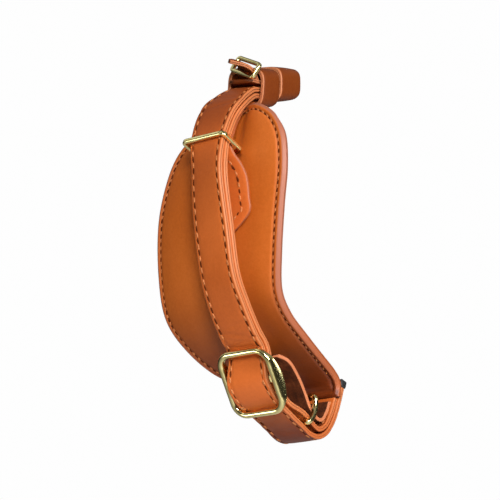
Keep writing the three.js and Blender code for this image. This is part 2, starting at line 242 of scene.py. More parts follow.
def gridFaces(rows, columns, closedRows=False, closedColumns=False, start=0):
    faces = []
    for i in range(rows if closedRows else rows - 1):
        for j in range(columns if closedColumns else columns - 1):
            nextRow, nextColumn = (i + 1) % rows, (j + 1) % columns
            faces.append((start + i * columns + j, start + i * columns + nextColumn,
                          start + nextRow * columns + nextColumn, start + nextRow * columns + j))
    return faces


def tubeFaces(rows, columns, start=0):
    # a row of sections with both ends closed
    last = start + (rows - 1) * columns
    return gridFaces(rows, columns, closedColumns=True, start=start) + [
        tuple(range(start, start + columns)), tuple(range(last, last + columns))]


def smoothRun(rows, steps):
    # a smooth line through a table's rows, every column carried along
    table = np.array(rows, float)
    ends = np.vstack([table[:1], table, table[-1:]])
    smooth = []
    for a, b, c, d in zip(ends, ends[1:], ends[2:], ends[3:]):
        for t in np.arange(steps) / steps:
            square = (2 * a - 5 * b + 4 * c - d) * t * t
            cube = (3 * b - a - 3 * c + d) * t ** 3
            smooth.append(0.5 * (2 * b + (c - a) * t + square + cube))
    smooth.append(table[-1])
    return np.array(smooth)


def unit(vectors):
    return vectors / np.maximum(np.linalg.norm(vectors, axis=-1, keepdims=True), 1e-9)


def runFrames(rows):
    # place, way across and way out of the face at each row; columns x, y, z, turn first
    places = rows[:, :3]
    along = unit(np.gradient(places, axis=0))
    flat = unit(np.array([1.0, 0, 0]) - along * along[:, :1])
    out = np.cross(along, flat)
    turn = np.radians(rows[:, 3:4])
    across = flat * np.cos(turn) + out * np.sin(turn)
    face = out * np.cos(turn) - flat * np.sin(turn)
    return places, across, face


# leather: pebbled and satin, with painted edges and dark lines between the plies
# heights in metres of the painted shade: darkest below the first of the lower pair and above the second of the
# upper pair
leatherLook = {
    "light": (0.70, 0.160, 0.028), "middle": (0.61, 0.130, 0.020), "dark": (0.50, 0.098, 0.013),
    "edge": (0.60, 0.185, 0.060), "ply": (0.075, 0.016, 0.005), "grain": 0.10, "roughness": 0.48,
    "shine": 0.40, "coat": 0.04, "coatRoughness": 0.38, "cloudSize": 38.0, "pebbleSize": 1500.0,
    "handled": (-0.062, -0.050), "handledTone": (0.30, 0.20, 0.14),
    "bent": (0.024, 0.034), "bentTone": (0.64, 0.58, 0.44), "unevenness": 0.006,
}
suedeLook = {"dark": (0.045, 0.011, 0.003), "middle": (0.10, 0.024, 0.006), "light": (0.19, 0.050, 0.014),
             "edge": (0.60, 0.20, 0.085), "shine": 0.2}


def leatherMaterial(name, look):
    material, tree = newMaterial(name)
    edge = tree.attribute("edge")
    crease = tree.attribute("crease")
    fine = tree.noise(850, 3, 0.6)
    worn = tree.noise(420, 4, 0.6)
    cloudy = tree.noise(look["cloudSize"], 3, 0.5)
    pebbles = tree.add("ShaderNodeTexVoronoi", {"feature": "SMOOTH_F1"}, {
        "Vector": tree.place(), "Scale": look["pebbleSize"], "Smoothness": 0.6})["Distance"]
    tone = tree.ramp(cloudy * 0.7 + fine * 0.2 + pebbles * 0.1,
                     [(0.26, look["dark"]), (0.46, look["middle"]), (0.68, look["light"])])
    height = tree.add("ShaderNodeSeparateXYZ", inputs={"Vector": tree.place()})["Z"]
    height = height + (cloudy - 0.5) * look["unevenness"]
    # painted shade: the leather darkens towards its lower end, below the lower pair of heights
    unshaded = tree.stretch(height, *look["handled"])
    tone = tree.mix(1.0, tone, tree.mix(unshaded, look["handledTone"], (1, 1, 1)), "MULTIPLY")
    # painted shade: the leather darkens again towards the top, above the upper pair of heights
    bent = tree.stretch(height, *look["bent"])
    tone = tree.mix(1.0, tone, tree.mix(bent, (1, 1, 1), look["bentTone"]), "MULTIPLY")
    painted = tree.stretch(edge + (worn - 0.5) * 0.3, 0.35, 0.65)
    color = tree.mix(painted, tone, look["edge"])
    # dark ply lines, and painted shade in the creases, the stitch grooves and the pad's foot
    color = tree.mix(tree.stretch(crease, 0.1, 0.95), color, look["ply"])
    # low down, inside the painted shade, the painted edges darken too
    color = tree.mix((1 - unshaded) * painted * 0.6, color, look["dark"])
    relief = pebbles * 0.6 + fine * 0.5 + worn * 0.35
    roughness = look["roughness"] + (tree.noise(160, 3) - 0.5) * 0.14 + crease * 0.2
    return finishMaterial(material, tree, {
        "Base Color": color, "Roughness": roughness, "Normal": tree.bump(look["grain"], 0.0004, relief),
        "Specular IOR Level": look["shine"], "Coat Weight": look["coat"],
        "Coat Roughness": look["coatRoughness"]})


def suedeMaterial(name, look):
    # the napped back of the leather
    material, tree = newMaterial(name)
    edge = tree.attribute("edge")
    nap = tree.noise(1300, 4, 0.7)
    tufts = tree.noise(330, 3, 0.6)
    tone = tree.ramp(tufts * 0.6 + nap * 0.4,
                     [(0.36, look["dark"]), (0.52, look["middle"]), (0.68, look["light"])])
    color = tree.mix(tree.stretch(edge, 0.35, 0.65), tone, look["edge"])
    return finishMaterial(material, tree, {
        "Base Color": color, "Roughness": 0.95 - edge * 0.5,
        "Normal": tree.bump(0.5, 0.0005, nap * 0.5 + tufts), "Specular IOR Level": look["shine"]})


strapLeather = leatherMaterial("strapLeather", leatherLook)
# the pad's painted shade starts higher and covers its whole lower part
padLeather = leatherMaterial("padLeather", {
    **leatherLook, "light": (0.65, 0.158, 0.022), "middle": (0.55, 0.122, 0.011), "dark": (0.45, 0.092, 0.007),
    "edge": (0.41, 0.132, 0.070), "cloudSize": 26.0, "shine": 0.46, "coat": 0.03,
    "handled": (-0.046, -0.010), "handledTone": (0.28, 0.19, 0.10), "bentTone": (1, 1, 1)})
tabLeather = leatherMaterial("tabLeather", {**leatherLook, "edge": (0.42, 0.105, 0.030)})
loopLeather = leatherMaterial("loopLeather", {
    **leatherLook, "light": (0.38, 0.094, 0.018), "middle": (0.31, 0.068, 0.011), "dark": (0.23, 0.045, 0.007),
    "edge": (0.52, 0.185, 0.078), "shine": 0.22, "coat": 0.02})
suede = suedeMaterial("suedeLeather", suedeLook)
print("leather ready")

# straps: x, y, z, turn, half width, gap to the second strap
strapRun = [
    (0, 33.5, 43.6, -8, 4.4, 0.3), (0, 29.0, 43.6, -8, 4.4, 0.3), (0, 24.0, 43.5, -8, 4.4, 0.3),
    (0, 19.0, 42.8, -6, 5.3, 0.3), (0, 11.3, 39.0, -4, 6.75, 0.3), (0, 6.5, 34.8, -2, 6.75, 0.3),
    (0, 3.1, 30.0, 1, 6.75, 0.3), (0, 0.9, 25.4, 3, 6.6, 0.3), (0, -0.6, 19.0, 10, 6.6, 0.3),
    (0, -1.4, 12.0, 10, 6.75, 0.3), (0, -1.4, 0.0, 5, 6.75, 0.3), (0, -0.8, -13.9, 5, 6.75, 0.3),
    (0, 2.1, -23.5, 1, 6.75, 0.3), (0, 5.8, -31.8, 0, 6.75, 0.5), (0, 8.6, -36.3, 0, 6.75, 0.6),
    (0, 8.4, -40.5, 0, 6.75, 1.6), (0, 9.1, -45.6, 0, 6.75, 2.3), (0, 11.9, -49.9, 0, 6.75, 1.6),
    (0, 14.8, -53.1, 0, 6.75, 0.9), (0, 17.8, -56.0, 0, 6.75, 1.3), (0, 22.3, -59.3, 0, 6.75, 2.3),
    (0, 27.0, -62.6, 0, 6.75, 1.8), (0, 31.5, -63.6, 0, 6.75, 0.7), (0, 36.2, -61.9, 0, 6.75, 0.3),
    (0, 40.3, -57.8, 0, 6.75, 0.3), (0, 43.3, -53.2, 0, 6.75, 0.3), (0, 45.6, -49.0, 0, 6.75, 0.3),
]
# the outer strap swells forward and turns a little where it crosses the big buckle
strapSwell = [(0, 8.4, -40.5, -3, 6.75, 0), (-0.3, 8.3, -45.6, -11, 6.75, 0),
              (-0.3, 10.6, -49.9, -10, 6.75, 0), (-0.1, 13.9, -53.1, -3, 6.75, 0)]
outerRun = strapRun[:15] + strapSwell + strapRun[19:]
tailRun = [
    (0, 18.2, -38.6, 0, 4.6), (0, 20.6, -40.6, 0, 6.5), (0, 24.0, -45.0, 0, 6.5),
    (0, 26.5, -49.6, 0, 6.3), (0, 28.3, -54.2, 0, 6.3), (0, 31.2, -57.9, 0, 6.5),
    (0, 34.2, -58.2, 0, 6.5), (0, 37.0, -55.6, 0, 6.5), (0, 38.6, -53.0, 0, 6.5),
]
tabRun = [
    (0, 20.2, 38.7, -4, 4.4), (0, 13.4, 35.5, -3, 4.9), (0, 9.3, 31.9, -1, 5.6), (0, 6.5, 28.0, 2, 6.1),
    (0, 4.7, 24.6, 4, 6.2), (0, 4.9, 21.6, 4, 6.7), (0, 6.2, 18.0, 2, 7.9), (0, 6.8, 14.2, 0, 8.8),
    (0, 6.5, 8.6, 0, 9.1), (0, 6.3, 3.4, 0, 8.6), (0, 6.2, -2.0, 0, 0.9),
]
thongRun = [
    (0.0, 20.3, 44.7, 8, 5.0), (0.2, 24.5, 44.3, 8, 4.6), (0.0, 30.0, 44.3, 8, 4.5),
    (0.0, 35.0, 44.2, 6, 4.5), (0.0, 37.8, 44.3, 2, 4.5), (0.0, 39.6, 45.9, 0, 4.5),
    (0.0, 37.8, 47.6, -2, 4.5), (0.0, 34.6, 47.3, -6, 4.5), (0.0, 29.0, 46.9, -8, 4.4),
    (0.4, 26.0, 46.5, -10, 4.0), (1.0, 23.8, 46.3, -14, 3.7), (2.9, 20.3, 49.3, -27, 3.8),
    (2.2, 17.4, 50.8, -27, 3.4), (1.2, 14.6, 51.3, -27, 0.7),
]
# height of each crease across the strap, its depth, width and slant
strapFolds = [(-28.9, 0.10, 0.55, 0.6), (-31.4, 0.12, 0.45, -1.4), (-33.6, 0.15, 0.40, 1.2),
              (-34.9, 0.10, 0.30, -0.6), (-36.4, 0.16, 0.50, 0.4), (37.2, 0.12, 0.6, 1.0),
              (39.9, 0.14, 0.6, -0.8), (-57.0, 0.10, 0.6, 0.8), (-60.3, 0.10, 0.7, -0.6)]
# stitched: how far the stitches lie from the edge; skive: how much thinner the edge is
plainStrap = {"thickness": 1.2, "stitched": 0, "skive": 0, "folds": []}
doubledStrap = {**plainStrap, "thickness": 1.6, "stitched": 1.25, "leather": strapLeather}
strapCuts = {
    "outerStrap": {**doubledStrap, "node": "outer_strap", "rows": outerRun, "folds": strapFolds},
    "innerStrap": {**doubledStrap, "node": "inner_strap", "rows": strapRun[1:-1]},
    "strapTail": {**plainStrap, "node": "strap_tail", "rows": tailRun, "leather": suede},
    "sewnTab": {**plainStrap, "node": "sewn_tab", "rows": tabRun, "leather": tabLeather, "skive": 0.3},
    "lugThong": {**plainStrap, "node": "lug_thong", "rows": thongRun, "leather": loopLeather},
}
strapFinish = {
    "steps": 18, "groove": 0.16, "grooveWidth": 0.5, "crown": 0.12, "plyGap": 0.16, "smallestHalf": 2.3,
    # the creases get painted shade in proportion to how deep they sink (last key below)
    "shoulder": 0.42, "bevel": 0.14, "rounding": 0.34, "skiveWidth": 2.0, "foldDark": 1.5,
    "foldDepth": 0.3,  # creases sink only what lies nearer the outer face than this
}


def strapSection(thickness, stitched):
    # half a section from the middle of the outer face round to the middle of the inner face:
    # share of the half width, inset from the edge, depth, painted edge, dark ply line and, at the stitch groove,
    # painted shade
    cut = strapFinish
    middle, gap = thickness / 2, cut["plyGap"]
    shoulder, bevel, rounding = cut["shoulder"], cut["bevel"], cut["rounding"]
    side = [(share, None, -cut["crown"] * (1 - share * share), 0, 0) for share in (0, 0.2, 0.4, 0.6)]
    if stitched:
        wide = cut["grooveWidth"]
        # the groove's bottom gets painted shade
        side += [(None, stitched + wide, 0, 0, 0), (None, stitched, cut["groove"], 0, 0.2),
                 (None, stitched - wide, -0.03, 0.1, 0)]
    else:
        side += [(None, 1.4, -0.05, 0, 0)]
    side += [
        (None, shoulder, 0.0, 0.2, 0), (None, bevel, 0.1, 0.8, 0), (None, 0, rounding, 1, 0),
        (None, 0, middle - gap, 1, 0), (None, gap, middle, 1, 1), (None, 0, middle + gap, 1, 0),
        (None, 0, thickness - rounding, 1, 0), (None, bevel, thickness - 0.1, 0.8, 0),
        (None, shoulder, thickness, 0.2, 0), (0.5, None, thickness, 0, 0), (0, None, thickness, 0, 0),
    ]
    return side


def foldRelief(folds, height, side):
    # how far the creases sink the outer face
    sink = 0.0
    for at, depth, width, slant in folds:
        sink += depth * math.exp(-((height - at - slant * side) / width) ** 2)
    return sink


def strapMesh(name, cut):
    rows = smoothRun(cut["rows"], strapFinish["steps"])
    places, across, face = runFrames(rows)
    side = strapSection(cut["thickness"], cut["stitched"])
    section = [(1, *point) for point in side] + [(-1, *point) for point in side[-2:0:-1]]
    isLining = cut["node"] == "inner_strap"
    points, edge, ply = [], [], []
    for i, row in enumerate(rows):
        half = row[4]
        tight = min(1, half / strapFinish["smallestHalf"])
        base = cut["thickness"] + row[5] if isLining else 0
        for sign, share, inset, depth, paint, dark in section:
            reach = share * half if inset is None else half - inset * tight
            nearEdge = max(0, 1 - (half - reach) / strapFinish["skiveWidth"])
            thin = cut["skive"] * nearEdge * (1 - depth / cut["thickness"])
            onFace = depth < strapFinish["foldDepth"]
            sink = foldRelief(cut["folds"], places[i][2], sign * reach / half) if onFace else 0
            points.append(places[i] + across[i] * sign * reach - face[i] * (base + depth + thin + sink))
            edge.append(paint)
            # the dark ply line, painted shade at the stitch groove, and painted shade in the creases, darker where
            # they sink deeper
            ply.append(max(dark, sink * strapFinish["foldDark"]))
    return makeMesh(name, points, tubeFaces(len(rows), len(section)), {"edge": edge, "crease": ply})


for name, cut in strapCuts.items():
    addPiece(name, strapMesh(name, cut), cut["leather"], [cut["node"]])
print("straps ready")

# pad: rim of its outer face, x, y, z, up the wrist side, over the top and down the finger side
padWrist = [
    (-7.6, 40.2, -51.0), (-8.2, 40.8, -48.0), (-11.4, 36.4, -46.8), (-17.0, 28.4, -44.8), (-22.2, 21.0, -41.4),
    (-27.9, 14.6, -32.8), (-32.0, 11.2, -22.6), (-31.6, 9.5, -9.2), (-29.0, 9.2, 7.0), (-24.0, 10.4, 20.4),
]
padTop = [
    (-18.6, 12.1, 28.0), (-10.5, 14.0, 32.8), (-2.0, 15.6, 35.4), (4.4, 16.4, 36.0), (6.7, 15.0, 36.6),
    (9.9, 13.8, 36.6), (14.3, 13.1, 34.5),
]
padFinger = [
    (18.2, 12.4, 30.9), (21.1, 11.0, 24.6), (21.2, 9.8, 15.0), (19.1, 9.2, 4.5), (16.0, 9.4, -9.4),
    (13.2, 11.2, -20.2), (12.3, 15.6, -27.6), (11.9, 22.8, -34.2), (10.4, 31.4, -40.2), (8.9, 38.2, -44.6),
    (8.2, 40.8, -47.6), (7.6, 40.2, -51.0),
]
padCut = {
    "across": 84, "along": 170, "rimSteps": 12, "crown": 2.6, "rimThickness": 2.2, "middleThickness": 3.4,
    "evening": 160, "eveningTop": 0.14, "eveningSide": 0.25,  # passes, then the shares over which they fade
    "normalPasses": 30, "stitchInset": 1.9, "insetTaper": 0.013, "grooveDepth": 0.38, "grooveWidth": 0.5,
    "innerGroove": 0.25, "puff": 0.35, "puffReach": 6, "rimRoll": 0.22, "rounding": 0.5, "roundingReach": 0.35,
    "bandStart": 0.4, "bandWidth": 0.9, "bandFoot": 0.04, "grooveTone": 0.30, "innerTone": 0.2, "footTone": 0.9,
    "unsewnFoot": 26, "lineReach": 0.5, "linePasses": 4, "grooveFloor": 0.3,
}


def lengthShares(line):
    steps = np.linalg.norm(np.diff(line, axis=0), axis=1)
    along = np.concatenate([[0], np.cumsum(steps)])
    return along / along[-1]


def sampleLine(line, shares):
    where = lengthShares(line)
    return np.stack([np.interp(shares, where, line[:, k]) for k in range(3)], axis=-1)


def padPatch(u, v, cut):
    # patch between the four sides; u and v are arrays of shares
    steps = cut["rimSteps"]
    rim = smoothRun(padWrist + padTop + padFinger, steps)
    wristEnd = len(padWrist) * steps
    fingerStart = (len(padWrist) + len(padTop)) * steps
    wrist = sampleLine(rim[:wristEnd + 1], v)[:, None]
    finger = sampleLine(rim[fingerStart:][::-1], v)[:, None]
    top = sampleLine(rim[wristEnd:fingerStart + 1], u)[None]
    bottom = (rim[0] + (rim[-1] - rim[0]) * u[:, None])[None]
    uu, vv = u[None, :, None], v[:, None, None]
    low = rim[0] * (1 - uu) + rim[-1] * uu
    high = rim[wristEnd] * (1 - uu) + rim[fingerStart] * uu
    patch = wrist * (1 - uu) + finger * uu + bottom * (1 - vv) + top * vv - low * (1 - vv) - high * vv
    even = patch[..., 1].copy()
    for turn in range(cut["evening"]):
        even[:, 1:-1] = (even[:, :-2] + even[:, 1:-1] + even[:, 2:]) / 3
    fade = (np.clip((1 - v[:, None]) / cut["eveningTop"], 0, 1)
            * np.clip((0.5 - np.abs(u - 0.5)) / cut["eveningSide"], 0, 1))
    patch[..., 1] += (even - patch[..., 1]) * fade
    bulge = 4 * uu * (1 - uu) * np.sqrt(np.clip(np.sin(np.pi * vv), 0, 1))
    patch[..., 1] -= cut["crown"] * bulge[..., 0]
    return patch, bulge[..., 0], rim


def eased(count):
    # shares from 0 to 1, closer together towards both ends
    even = np.linspace(0, 1, count)
    return 0.5 * even + 0.5 * (0.5 - 0.5 * np.cos(np.pi * even))


def distanceToRim(points, rim):
    best = np.full(len(points), 1e9)
    for a, b in zip(rim, np.roll(rim, -1, axis=0)):
        step = b - a
        share = np.clip((points - a) @ step / max(step @ step, 1e-9), 0, 1)
        best = np.minimum(best, np.linalg.norm(points - a - share[:, None] * step, axis=1))
    return best


def surfaceNormals(grid, passes):
    # cells squeezed into the corners count for little
    normals = np.cross(np.gradient(grid, axis=0), np.gradient(grid, axis=1))
    for turn in range(passes):
        padded = np.pad(normals, ((1, 1), (1, 1), (0, 0)), "edge")
        normals = (padded[:-2, 1:-1] + padded[2:, 1:-1] + padded[1:-1, :-2] + padded[1:-1, 2:] + normals) / 5
    return unit(normals)


def rimRing(rows, columns):
    return ([(0, j) for j in range(columns)] + [(i, columns - 1) for i in range(1, rows)]
            + [(rows - 1, j) for j in range(columns - 2, -1, -1)] + [(i, 0) for i in range(rows - 2, 0, -1)])


def grooveLine(rim, bottoms, ways, cut):
    # follows the rim along the bottom of the groove, and gives the way out of it
    points, facing = [], []
    for place in rim[cut["unsewnFoot"]:-cut["unsewnFoot"]]:
        gap = np.linalg.norm(bottoms - place, axis=1)
        weight = np.exp(-((gap - gap.min()) / cut["lineReach"]) ** 2)
        points.append(weight @ bottoms / weight.sum())
        facing.append(weight @ ways)
    line = np.array(points)
    for turn in range(cut["linePasses"]):
        line[1:-1] = (line[:-2] + line[1:-1] + line[2:]) / 3
    return line, unit(np.array(facing))


def padMesh(name, cut):
    along = eased(cut["along"])
    patch, bulge, rim = padPatch(eased(cut["across"]), along, cut)
    inwards = surfaceNormals(patch, cut["normalPasses"])
    reach = distanceToRim(patch.reshape(-1, 3), rim).reshape(patch.shape[:2])
    inset = cut["stitchInset"] + cut["insetTaper"] * patch[..., 0]  # closer to the edge on the wrist side
    groove = np.exp(-((reach - inset) / cut["grooveWidth"]) ** 2)
    inside = np.clip((reach - inset) / cut["puffReach"], 0, 1)
    puff = cut["puff"] * np.sin(np.pi / 2 * inside)
    roll = cut["rimRoll"] * np.sin(np.pi * np.clip(reach / inset, 0, 1))
    rounding = cut["rounding"] * np.exp(-reach / cut["roundingReach"])
    outer = patch + inwards * (groove * cut["grooveDepth"] - puff - roll + rounding)[..., None]
    thickness = cut["rimThickness"] + (cut["middleThickness"] - cut["rimThickness"]) * bulge
    inner = patch + inwards * (thickness - groove * cut["innerGroove"] - rounding)[..., None]
    rows, columns = reach.shape
    ring = rimRing(rows, columns)
    points = list(outer.reshape(-1, 3)) + list(inner.reshape(-1, 3))
    second = rows * columns
    faces = gridFaces(rows, columns) + gridFaces(rows, columns, start=second)
    middle = patch.reshape(-1, 3).mean(axis=0)
    loops = [[i * columns + j for i, j in ring]]
    rimPaint, rimPlyAndShade = [], []
    # the rim's edge: share of the thickness, how far it stands out, dark line
    for depth, out, dark in [(0.25, 0.16, 0), (0.42, 0.24, 0), (0.5, 0.12, 0.8), (0.58, 0.24, 0), (0.75, 0.16, 0)]:
        start = len(points)
        for k, (i, j) in enumerate(ring):
            before, after = ring[k - 1], ring[(k + 1) % len(ring)]
            away = unit(np.cross(patch[after] - patch[before], inwards[i, j]))
            if away @ (patch[i, j] - middle) < 0:
                away = -away
            points.append(patch[i, j] + inwards[i, j] * thickness[i, j] * depth + away * out)
            # painted shade: at the pad's foot, tucked into the bend, the rim has no painted edge and is dark
            atFoot = i == 0
            rimPaint.append(0 if atFoot else 1)
            rimPlyAndShade.append(cut["footTone"] if atFoot else dark)
        loops.append(list(range(start, len(points))))
    loops.append([second + i * columns + j for i, j in ring])
    for first, other in zip(loops, loops[1:]):
        for k in range(len(ring)):
            following = (k + 1) % len(ring)
            faces.append((first[k], first[following], other[following], other[k]))
    band = np.clip(1 - (reach - cut["bandStart"]) / cut["bandWidth"], 0, 1)
    band = (band * np.clip(along[:, None] / cut["bandFoot"], 0, 1)).ravel()
    edge = np.concatenate([band, band, rimPaint])
    # painted shade in the stitch grooves of the outer and inner faces, then the rim's dark lines
    crease = np.concatenate([groove.ravel() * cut["grooveTone"], groove.ravel() * cut["innerTone"], rimPlyAndShade])
    inGroove = np.abs(reach - inset) < cut["grooveFloor"]
    stitchLine = grooveLine(rim, outer[inGroove], -inwards[inGroove], cut)
    return makeMesh(name, points, faces, {"edge": edge, "crease": crease}), stitchLine


padShape, padStitchLine = padMesh("handPad", padCut)
handPad = addPiece("handPad", padShape, padLeather, ["hand_pad"])
print("pad ready")

# leather loops: x, y, z, half width and half height of the front and the back
loopCuts = {
    "leatherLoop": {"node": "leather_loop", "front": (-0.5, 22.6, 43.5, 7.1, 6.1),
                    "back": (-0.3, 30.3, 43.9, 7.1, 5.8), "roll": 12},
    "lugLoop": {"node": "lug_loop", "front": (0, 30.7, 44.9, 7.2, 5.4),
                "back": (-0.2, 41.2, 45.6, 6.6, 4.8), "roll": 8},
}
loopFinish = {"wall": 1.3, "sides": 120, "squareness": 0.55, "waist": 0.15}


def loopMesh(name, cut):
    wall = loopFinish["wall"]
    # share of the way from front to back, inset from the outside, painted edge, ply line
    section = [(share, -loopFinish["waist"] * math.sin(math.pi * share), 0, 0)
               for share in (0.06, 0.2, 0.35, 0.5, 0.65, 0.8, 0.94)]
    section += [(0.985, 0.12, 0.9, 0), (1, 0.4, 1, 0), (0.99, wall / 2, 1, 1), (1, wall - 0.4, 1, 0),
                (0.985, wall - 0.12, 0.9, 0), (0.94, wall, 0, 0), (0.5, wall, 0, 0), (0.06, wall, 0, 0),
                (0.015, wall - 0.12, 0.9, 0), (0, wall - 0.4, 1, 0), (0.01, wall / 2, 1, 0.5), (0, 0.4, 1, 0),
                (0.015, 0.12, 0.9, 0)]
    front, back = np.array(cut["front"], float), np.array(cut["back"], float)
    roll = math.radians(cut["roll"])
    points, edge, ply = [], [], []
    for k in range(loopFinish["sides"]):
        angle = 2 * math.pi * k / loopFinish["sides"]
        boxy = [math.copysign(abs(value) ** loopFinish["squareness"], value)
                for value in (math.cos(angle), math.sin(angle))]
        for share, inset, paint, dark in section:
            x, y, z, halfWidth, halfHeight = front + (back - front) * share
            flatX, flatZ = (halfWidth - inset) * boxy[0], (halfHeight - inset) * boxy[1]
            points.append((x + flatX * math.cos(roll) + flatZ * math.sin(roll), y,
                           z + flatZ * math.cos(roll) - flatX * math.sin(roll)))
            edge.append(paint)
            ply.append(dark)
    faces = gridFaces(loopFinish["sides"], len(section), closedRows=True, closedColumns=True)
    return makeMesh(name, points, faces, {"edge": edge, "crease": ply})


for name, cut in loopCuts.items():
    addPiece(name, loopMesh(name, cut), loopLeather, [cut["node"]])
print("loops ready")

# stitches: a thread bead at every pitch, and a punched slit between each two, coloured near-black as painted shade
# inside the hole
threadLook = {"light": (0.68, 0.23, 0.065), "dark": (0.46, 0.13, 0.030), "slit": (0.075, 0.017, 0.005)}
strapStitch = {"pitch": 3.4, "thread": (1.9, 0.80, 0.50), "slit": (2.1, 0.85, 0.34), "jitter": 3,
               "trim": (20, -8), "share": 0.8}
stitchLift = 0.02  # threads stand out by this and slits lie in by it
# thread and slit: length, width and height; share: of the half width, for the creases;
# depth and way: how far under the outer face the line lies, and 1 if it faces outwards
stitchCuts = {
    "strapStitches": {**strapStitch, "strap": "outerStrap", "slant": 8, "seed": 3, "depth": 0.10, "way": 1},
    "liningStitches": {**strapStitch, "strap": "innerStrap", "slant": -8, "seed": 5, "depth": 1.62, "way": -1},
    "padStitches": {"pitch": 2.3, "thread": (1.3, 0.62, 0.50), "slit": (1.55, 0.85, 0.36), "slant": -14,
                    "jitter": 5, "seed": 8},
    "tabStitches": {"pitch": 3.5, "thread": (1.9, 0.78, 0.46), "slit": (2.0, 0.85, 0.34), "slant": 8,
                    "jitter": 3, "seed": 11, "inset": 3.0, "top": 26.0,
                    "foot": [(5.6, 3.9), (3.0, 2.5), (0, 1.2)]},  # half width and height at each stop
}


def threadMaterial(name, look):
    material, tree = newMaterial(name)
    fuzz = tree.noise(2600, 3, 0.65)
    color = tree.ramp(fuzz, [(0.35, look["dark"]), (0.6, look["light"])])
    strands = tree.add("ShaderNodeTexWave", {"bands_direction": "DIAGONAL"}, {
        "Vector": tree.place(), "Scale": 1500.0, "Distortion": 1.0})["Fac"]
    return finishMaterial(material, tree, {"Base Color": color, "Roughness": 0.55 + fuzz * 0.2,
                                           "Normal": tree.bump(0.5, 0.0001, strands + fuzz)})


def slitMaterial(name, look):
    material, tree = newMaterial(name)
    rough = tree.noise(1800, 3, 0.6)
    # near-black with a little mottling: painted shade inside the punched hole
    color = tree.mix(rough, look["slit"], tuple(2.2 * value for value in look["slit"]))
    return finishMaterial(material, tree, {"Base Color": color, "Roughness": 0.85 + rough * 0.1,
                                           "Specular IOR Level": 0.03})


def stitchNodes():
    group, tree, given = newNodeGroup(
        "stitchRow", ("Pitch", "Length", "Width", "Height", "Lift", "Slant", "Jitter", "Between"), ("Seed",))
    line = tree.add("GeometryNodeMeshToCurve", inputs={"Mesh": given["Geometry"]})["Curve"]
    spaced = tree.add("GeometryNodeResampleCurve", {"mode": "LENGTH"}, {"Curve": line, "Length": given["Pitch"]})
    halved = tree.add("GeometryNodeSubdivideCurve", inputs={"Curve": spaced["Curve"], "Cuts": 1})["Curve"]
    # every other point is a thread, and the ones between are slits
    turnOf = tree.add("GeometryNodeSplineParameter")["Index"] % 2.0
    chosen = tree.add("FunctionNodeCompare", {"data_type": "FLOAT", "operation": "EQUAL"},
                      {0: turnOf, 1: given["Between"], 12: 0.1})["Result"]
    facing = tree.add("GeometryNodeInputNamedAttribute", {"data_type": "FLOAT_VECTOR"},
                      {"Name": "faceNormal"})["Attribute"]
    lift = tree.add("ShaderNodeVectorMath", {"operation": "SCALE"}, {0: facing, "Scale": given["Lift"]})["Vector"]
    raised = tree.add("GeometryNodeSetPosition", inputs={"Geometry": halved, "Offset": lift})["Geometry"]
    alongRun = tree.add("FunctionNodeAlignRotationToVector", {"axis": "X"},
                        {"Vector": tree.add("GeometryNodeInputTangent")["Tangent"]})["Rotation"]
    faceUp = tree.add("FunctionNodeAlignRotationToVector", {"axis": "Z", "pivot_axis": "X"},
                      {"Rotation": alongRun, "Vector": facing})["Rotation"]
    wobble = tree.add("FunctionNodeRandomValue", {"data_type": "FLOAT"},
                      {2: given["Jitter"] * -1.0, 3: given["Jitter"], 8: given["Seed"]})[1]
    turn = tree.add("FunctionNodeAxisAngleToRotation", inputs={"Axis": (0, 0, 1), "Angle": given["Slant"] + wobble})
    rotation = tree.add("FunctionNodeRotateRotation", {"rotation_space": "LOCAL"},
                        {"Rotation": faceUp, "Rotate By": turn["Rotation"]})["Rotation"]
    bead = tree.add("GeometryNodeMeshUVSphere", inputs={"Segments": 8, "Rings": 6, "Radius": 0.5})["Mesh"]
    size = tree.add("ShaderNodeCombineXYZ", inputs={"X": given["Length"], "Y": given["Width"],
                                                    "Z": given["Height"]})["Vector"]
    sewn = tree.add("GeometryNodeInstanceOnPoints", inputs={
        "Points": raised, "Selection": chosen, "Instance": bead, "Rotation": rotation, "Scale": size})["Instances"]
    finishNodes(tree, given, sewn)
    return group


stitchRow = stitchNodes()
thread = threadMaterial("tanThread", threadLook)
slit = slitMaterial("stitchSlit", threadLook)


def addStitches(name, lines, cut):
    # lines: points on the surface, and the way out of it at each
    for part, between, size, lift, material in (("Threads", 0, cut["thread"], stitchLift, thread),
                                                ("Slits", 1, cut["slit"], -stitchLift, slit)):
        points, edges, facing = [], [], []
        for line, out in lines:
            edges += [(len(points) + k, len(points) + k + 1) for k in range(len(line) - 1)]
            points += list(line)
            facing += list(out)
        path = bpy.data.meshes.new(name + "Path")
        path.from_pydata(inMetres(points), edges, [])
        path.attributes.new("faceNormal", "FLOAT_VECTOR", "POINT").data.foreach_set(
            "vector", np.array(facing, "f").ravel())
        mesh = grownMesh(name + part, stitchRow, path, {
            "Pitch": cut["pitch"] * mm, "Length": size[0] * mm, "Width": size[1] * mm, "Height": size[2] * mm,
            "Lift": lift * mm, "Slant": math.radians(cut["slant"]), "Jitter": math.radians(cut["jitter"]),
            "Between": float(between), "Seed": cut["seed"], "Material": material})
        addPiece(name + part, mesh, material, [])


def sideLines(cut, stitch):
    # a line of points along both sides of a strap
    rows = smoothRun(cut["rows"], strapFinish["steps"])[slice(*stitch["trim"])]
    places, across, face = runFrames(rows)
    lines = []
    for sign in (-1, 1):
        reach = sign * (rows[:, 4:5] - cut["stitched"])
        sink = np.array([[foldRelief(cut["folds"], place[2], sign * stitch["share"])] for place in places])
        base = cut["thickness"] + rows[:, 5:6] if cut["node"] == "inner_strap" else 0
        lines.append((places + across * reach - face * (base + stitch["depth"] + sink), face * stitch["way"]))
    return lines


